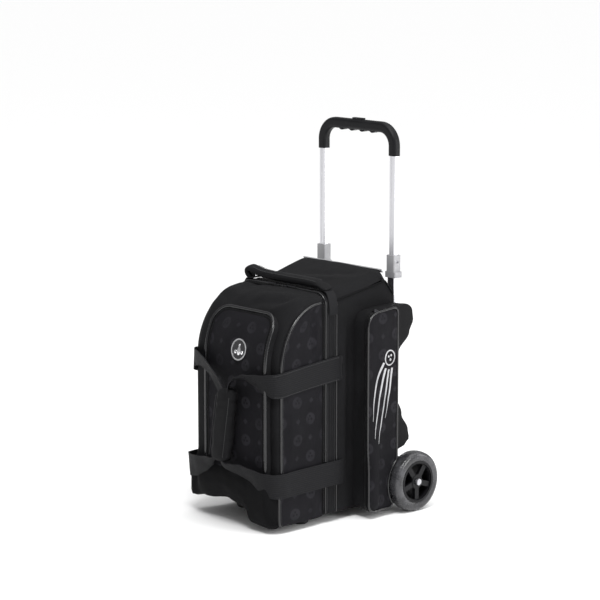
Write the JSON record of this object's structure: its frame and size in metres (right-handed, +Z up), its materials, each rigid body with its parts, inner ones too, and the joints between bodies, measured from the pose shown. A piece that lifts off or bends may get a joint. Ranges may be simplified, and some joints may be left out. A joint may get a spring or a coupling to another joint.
{
  "type": "bowling ball bag",
  "caption": "Wheeled fabric bowling ball bag with a front zip cover, side pockets, web carry handles and a telescopic handle.",
  "frame": {"origin": "on the floor, midway between the outermost faces in X and in Y, under the standing bag", "axes": "+Z up, -Y the front with the padded carry wrap, +Y the back with the telescopic handle, +X the bag's side along the axle"},
  "size_m": [0.3826, 0.445, 0.798],
  "materials": {
    "fabric": "woven polyester, matte",
    "pattern_fabric": "woven polyester with a tone-on-tone print",
    "tape_fabric": "ribbed tape",
    "piping": "glossy",
    "webbing": "woven webbing",
    "zip_plastic": "satin",
    "black_plastic": "satin, fine grain",
    "board": "matte",
    "foam": "foam",
    "foot_rubber": "matte",
    "tube_metal": "satin anodised",
    "grey_plastic": "satin",
    "steel": "brushed",
    "bright_metal": "polished",
    "badge_enamel": "enamel",
    "zip_metal": "semi-gloss black",
    "tyre": "smoky, half translucent"
  },
  "bodies": {
    "bag": {"base_board": "board", "back_board": "board", "body_shell": "fabric", "back_top_trim": "grey_plastic", "band_tape": "tape_fabric", "band_piping": "piping", "main_zip": "zip_plastic", "cover_lower": "fabric", "front_pocket_lower": "pattern_fabric", "side_pocket_left": "pattern_fabric", "side_pocket_right": "pattern_fabric", "web_handle_left": "webbing", "web_handle_right": "webbing", "handle_wrap": "tape_fabric", "ball_cup": "foam", "front_feet": "foot_rubber", "screws": "steel", "axle": "steel", "axle_spacers": "steel", "axle_nuts": "bright_metal", "rear_base": "black_plastic", "upper_bracket": "steel", "outer_tube_left": "tube_metal", "outer_tube_right": "tube_metal", "tube_collar_left": "grey_plastic", "tube_collar_right": "grey_plastic", "grab_handle_anchors": "webbing"},
    "cover": {"cover_upper": "fabric", "front_pocket_upper": "pattern_fabric", "badge_ring": "bright_metal", "badge_disc": "badge_enamel"},
    "handle": {"inner_tube_left": "tube_metal", "inner_tube_right": "tube_metal", "tube_bushes": "black_plastic", "grip_front": "black_plastic", "grip_rear": "black_plastic"},
    "release": {"button": "black_plastic", "release_yoke": "black_plastic", "release_rods": "steel", "button_spring": "steel"},
    "lock_pin_left": {"lock_pin_left": "steel"},
    "lock_pin_right": {"lock_pin_right": "steel"},
    "wheel_left": {"tyre_left": "tyre", "hub_left": "black_plastic", "bearings_left": "steel"},
    "wheel_right": {"tyre_right": "tyre", "hub_right": "black_plastic", "bearings_right": "steel"},
    "pocket_left": {"pocket_door_left": "pattern_fabric"},
    "pocket_right": {"pocket_door_right": "pattern_fabric"},
    "grab": {"grab_handle": "tape_fabric"},
    "slider_left": {"zip_slider_left": "zip_metal"},
    "slider_right": {"zip_slider_right": "zip_metal"},
    "tab_left": {"pull_tab_left": "zip_metal"},
    "tab_right": {"pull_tab_right": "zip_metal"},
    "pocket_zip_left": {"pocket_slider_left": "zip_metal"},
    "pocket_zip_right": {"pocket_slider_right": "zip_metal"},
    "front_zip": {"front_slider": "zip_metal"}
  },
  "joints": [
    {"name": "handle_slide", "type": "slide", "parent": "bag", "child": "handle", "axis": [0, 0, 1], "range_m": [-0.2, 0.15]},
    {"name": "button_press", "type": "slide", "parent": "handle", "child": "release", "axis": [0, 0, -1], "range_m": [0, 0.004], "stiffness_N_per_m": 400, "springref_m": -0.004, "deforming": ["button_spring"]},
    {"name": "lock_pin_left_slide", "type": "slide", "parent": "handle", "child": "lock_pin_left", "axis": [1, 0, 0], "range_m": [0, 0.004]},
    {"name": "lock_pin_right_slide", "type": "slide", "parent": "handle", "child": "lock_pin_right", "axis": [-1, 0, 0], "range_m": [0, 0.004]},
    {"name": "wheel_left_spin", "type": "hinge", "parent": "bag", "child": "wheel_left", "pos_m": [-0.1715, 0.16, 0.0625], "axis": [1, 0, 0], "continuous": true},
    {"name": "wheel_right_spin", "type": "hinge", "parent": "bag", "child": "wheel_right", "pos_m": [0.1715, 0.16, 0.0625], "axis": [1, 0, 0], "continuous": true},
    {"name": "cover_open", "type": "hinge", "parent": "bag", "child": "cover", "pos_m": [0, -0.188, 0.336], "axis": [1, 0, 0], "range_deg": [0, 85]},
    {"name": "pocket_left_open", "type": "hinge", "parent": "bag", "child": "pocket_left", "pos_m": [-0.167, 0.094, 0.2], "axis": [0, 0, -1], "range_deg": [0, 85]},
    {"name": "pocket_right_open", "type": "hinge", "parent": "bag", "child": "pocket_right", "pos_m": [0.167, 0.094, 0.2], "axis": [0, 0, 1], "range_deg": [0, 85]},
    {"name": "grab_handle_swing", "type": "hinge", "parent": "bag", "child": "grab", "pos_m": [0, -0.027, 0.48], "axis": [1, 0, 0], "range_deg": [-20, 20], "stiffness_Nm_per_rad": 0.6},
    {"name": "main_zip_left_slide", "type": "slide", "parent": "bag", "child": "slider_left", "axis": [-1, 0, 0], "range_m": [0, 0.075]},
    {"name": "main_zip_right_slide", "type": "slide", "parent": "bag", "child": "slider_right", "axis": [1, 0, 0], "range_m": [0, 0.075]},
    {"name": "pull_tab_left_swing", "type": "hinge", "parent": "slider_left", "child": "tab_left", "pos_m": [-0.017, -0.0488, 0.4754], "axis": [0, 1, 0], "range_deg": [0, 150]},
    {"name": "pull_tab_right_swing", "type": "hinge", "parent": "slider_right", "child": "tab_right", "pos_m": [0.017, -0.0488, 0.4754], "axis": [0, -1, 0], "range_deg": [0, 150]},
    {"name": "pocket_zip_left_slide", "type": "slide", "parent": "bag", "child": "pocket_zip_left", "axis": [0, 1, 0], "range_m": [-0.012, 0.045]},
    {"name": "pocket_zip_right_slide", "type": "slide", "parent": "bag", "child": "pocket_zip_right", "axis": [0, 1, 0], "range_m": [-0.012, 0.045]},
    {"name": "front_zip_slide", "type": "slide", "parent": "bag", "child": "front_zip", "axis": [0, 0, 1], "range_m": [0, 0.26]}
  ],
  "couplings": [
    {"joint": "lock_pin_left_slide", "follows": "button_press", "ratio": 1},
    {"joint": "lock_pin_right_slide", "follows": "button_press", "ratio": 1}
  ]
}
